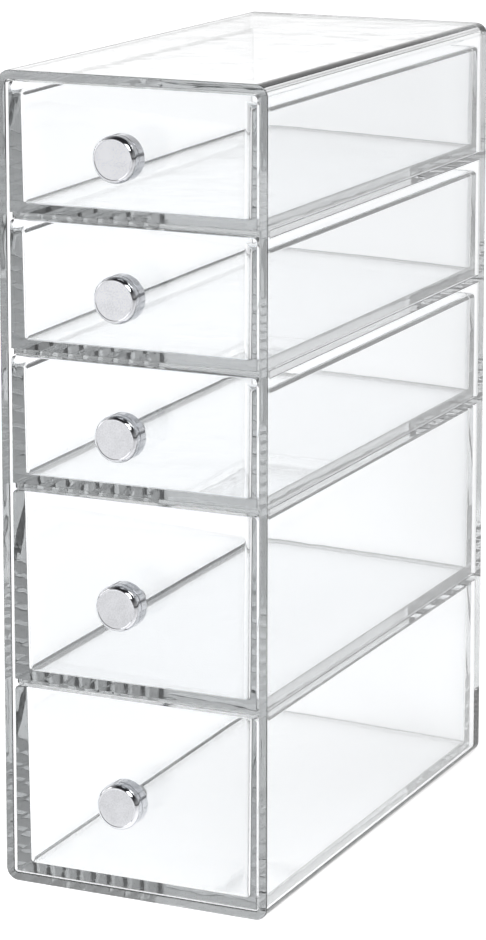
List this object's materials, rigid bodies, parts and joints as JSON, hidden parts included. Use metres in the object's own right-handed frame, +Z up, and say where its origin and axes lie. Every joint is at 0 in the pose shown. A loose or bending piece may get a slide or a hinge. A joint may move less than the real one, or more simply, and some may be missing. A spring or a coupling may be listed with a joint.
{
  "type": "clear drawer chest",
  "caption": "Slim upright chest of clear plastic for make-up, with short drawers above tall ones, each pulled by a round chrome knob.",
  "frame": {"origin": "middle of the face that the case stands on", "axes": "+X to the right seen from the front, +Y from the drawer fronts to the back, +Z up"},
  "size_m": [0.089, 0.1896, 0.254],
  "materials": {
    "clear_case": "clear, polished",
    "clear_shelf": "clear, polished",
    "clear_tray": "clear, polished",
    "knob_chrome": "bright chrome plate",
    "screw_steel": "bright zinc"
  },
  "bodies": {
    "case": {"case_shell": "clear_case", "shelf_1": "clear_shelf", "shelf_2": "clear_shelf", "shelf_3": "clear_shelf", "shelf_4": "clear_shelf"},
    "drawer_1": {"drawer_1_tray": "clear_tray", "drawer_1_knob": "knob_chrome", "drawer_1_screw": "screw_steel"},
    "drawer_2": {"drawer_2_tray": "clear_tray", "drawer_2_knob": "knob_chrome", "drawer_2_screw": "screw_steel"},
    "drawer_3": {"drawer_3_tray": "clear_tray", "drawer_3_knob": "knob_chrome", "drawer_3_screw": "screw_steel"},
    "drawer_4": {"drawer_4_tray": "clear_tray", "drawer_4_knob": "knob_chrome", "drawer_4_screw": "screw_steel"},
    "drawer_5": {"drawer_5_tray": "clear_tray", "drawer_5_knob": "knob_chrome", "drawer_5_screw": "screw_steel"}
  },
  "joints": [
    {"name": "drawer_1_slide", "type": "slide", "parent": "case", "child": "drawer_1", "axis": [0, -1, 0], "range_m": [0, 0.15]},
    {"name": "drawer_2_slide", "type": "slide", "parent": "case", "child": "drawer_2", "axis": [0, -1, 0], "range_m": [0, 0.15]},
    {"name": "drawer_3_slide", "type": "slide", "parent": "case", "child": "drawer_3", "axis": [0, -1, 0], "range_m": [0, 0.15]},
    {"name": "drawer_4_slide", "type": "slide", "parent": "case", "child": "drawer_4", "axis": [0, -1, 0], "range_m": [0, 0.15]},
    {"name": "drawer_5_slide", "type": "slide", "parent": "case", "child": "drawer_5", "axis": [0, -1, 0], "range_m": [0, 0.15]}
  ]
}
